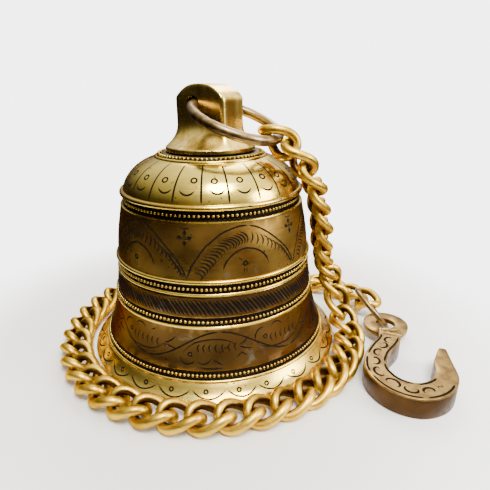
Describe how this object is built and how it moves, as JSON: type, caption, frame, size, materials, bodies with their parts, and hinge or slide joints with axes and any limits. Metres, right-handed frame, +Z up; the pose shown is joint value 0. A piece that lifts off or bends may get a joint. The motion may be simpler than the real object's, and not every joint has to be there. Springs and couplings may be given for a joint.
{
  "type": "temple bell",
  "caption": "Engraved brass bell with a slab-shaped crown lug, a crown ring, a curb chain that circles the mouth, and a flat hook; the clapper hangs inside.",
  "frame": {"origin": "on the bell's axis, on the surface that the bell stands on", "axes": "+Z up along the bell's axis, -Y the front, +X the side where the chain comes down and the hook lies"},
  "size_m": [0.1507, 0.1285, 0.1024],
  "materials": {
    "engraved_brass": "polished, with dark patina in the engraving",
    "chain_brass": "satin",
    "ring_bronze": "dull, aged",
    "clapper_steel": "plain"
  },
  "bodies": {
    "bell": {"bell_body": "engraved_brass", "crown_lug": "engraved_brass", "coupling_nut": "clapper_steel", "clapper_eye": "clapper_steel", "chain_link_01": "chain_brass", "chain_link_02": "chain_brass", "chain_link_03": "chain_brass", "chain_link_04": "chain_brass", "chain_link_05": "chain_brass", "chain_link_06": "chain_brass", "chain_link_07": "chain_brass", "chain_link_08": "chain_brass", "chain_link_09": "chain_brass", "chain_link_10": "chain_brass", "chain_link_11": "chain_brass", "chain_link_12": "chain_brass", "chain_link_13": "chain_brass", "chain_link_14": "chain_brass", "chain_link_15": "chain_brass", "chain_link_16": "chain_brass", "chain_link_17": "chain_brass", "chain_link_18": "chain_brass", "chain_link_19": "chain_brass", "chain_link_20": "chain_brass", "chain_link_21": "chain_brass", "chain_link_22": "chain_brass", "chain_link_23": "chain_brass", "chain_link_24": "chain_brass", "chain_link_25": "chain_brass", "chain_link_26": "chain_brass", "chain_link_27": "chain_brass", "chain_link_28": "chain_brass", "chain_link_29": "chain_brass", "chain_link_30": "chain_brass", "chain_link_31": "chain_brass", "chain_link_32": "chain_brass", "chain_link_33": "chain_brass", "chain_link_34": "chain_brass", "chain_link_35": "chain_brass", "chain_link_36": "chain_brass", "chain_link_37": "chain_brass", "chain_link_38": "chain_brass", "chain_link_39": "chain_brass"},
    "crown_ring": {"crown_ring": "ring_bronze"},
    "clapper_link": {"clapper_link": "clapper_steel"},
    "clapper": {"clapper_rod": "clapper_steel", "clapper_ball": "engraved_brass"},
    "tail_link_40": {"chain_link_40": "chain_brass"},
    "tail_link_41": {"chain_link_41": "chain_brass"},
    "tail_link_42": {"chain_link_42": "chain_brass"},
    "tail_link_43": {"chain_link_43": "chain_brass"},
    "tail_link_44": {"chain_link_44": "chain_brass"},
    "tail_link_45": {"chain_link_45": "chain_brass"},
    "tail_link_46": {"chain_link_46": "chain_brass"},
    "tail_link_47": {"chain_link_47": "chain_brass"},
    "tail_link_48": {"chain_link_48": "chain_brass"},
    "tail_link_49": {"chain_link_49": "chain_brass"},
    "hook_ring": {"hook_ring": "ring_bronze"},
    "hook": {"hook": "engraved_brass"}
  },
  "joints": [
    {"name": "crown_ring_turn", "type": "hinge", "parent": "bell", "child": "crown_ring", "pos_m": [0.00943, -0.00737, 0.08985], "axis": [0.2952, -0.2306, 0.9272], "continuous": true},
    {"name": "clapper_link_swing", "type": "hinge", "parent": "bell", "child": "clapper_link", "pos_m": [0, 0, 0.056], "axis": [1, 0, 0], "range_deg": [-40, 40]},
    {"name": "clapper_swing", "type": "hinge", "parent": "clapper_link", "child": "clapper", "pos_m": [0, 0, 0.0488], "axis": [0, 1, 0], "range_deg": [-20, 20]},
    {"name": "tail_bend_40", "type": "hinge", "parent": "bell", "child": "tail_link_40", "pos_m": [0.0028, 0.0578, 0.0039], "axis": [0, 0, 1], "range_deg": [0, 15]},
    {"name": "tail_bend_41", "type": "hinge", "parent": "tail_link_40", "child": "tail_link_41", "pos_m": [0.0121, 0.0565, 0.0039], "axis": [0, 0, 1], "range_deg": [0, 15]},
    {"name": "tail_bend_42", "type": "hinge", "parent": "tail_link_41", "child": "tail_link_42", "pos_m": [0.0211, 0.0538, 0.0039], "axis": [0, 0, 1], "range_deg": [0, 15]},
    {"name": "tail_bend_43", "type": "hinge", "parent": "tail_link_42", "child": "tail_link_43", "pos_m": [0.0295, 0.0495, 0.0039], "axis": [0, 0, 1], "range_deg": [0, 15]},
    {"name": "tail_bend_44", "type": "hinge", "parent": "tail_link_43", "child": "tail_link_44", "pos_m": [0.0374, 0.0444, 0.0039], "axis": [0, 0, 1], "range_deg": [0, 15]},
    {"name": "tail_bend_45", "type": "hinge", "parent": "tail_link_44", "child": "tail_link_45", "pos_m": [0.0449, 0.0389, 0.0039], "axis": [0, 0, 1], "range_deg": [0, 15]},
    {"name": "tail_bend_46", "type": "hinge", "parent": "tail_link_45", "child": "tail_link_46", "pos_m": [0.0527, 0.0335, 0.0039], "axis": [0, 0, 1], "range_deg": [0, 15]},
    {"name": "tail_bend_47", "type": "hinge", "parent": "tail_link_46", "child": "tail_link_47", "pos_m": [0.0602, 0.0279, 0.0039], "axis": [0, 0, 1], "range_deg": [0, 15]},
    {"name": "tail_bend_48", "type": "hinge", "parent": "tail_link_47", "child": "tail_link_48", "pos_m": [0.0662, 0.0206, 0.0042], "axis": [0, 0, 1], "range_deg": [0, 15]},
    {"name": "tail_bend_49", "type": "hinge", "parent": "tail_link_48", "child": "tail_link_49", "pos_m": [0.07, 0.0121, 0.0052], "axis": [0, 0, 1], "range_deg": [0, 15]},
    {"name": "hook_ring_lift", "type": "hinge", "parent": "tail_link_49", "child": "hook_ring", "pos_m": [0.0717, 0.0031, 0.0072], "axis": [-1, 0, 0], "range_deg": [0, 25]},
    {"name": "hook_swing", "type": "hinge", "parent": "hook_ring", "child": "hook", "pos_m": [0.0728, -0.0117, 0.0043], "axis": [0, 0, 1], "range_deg": [0, 40]}
  ]
}
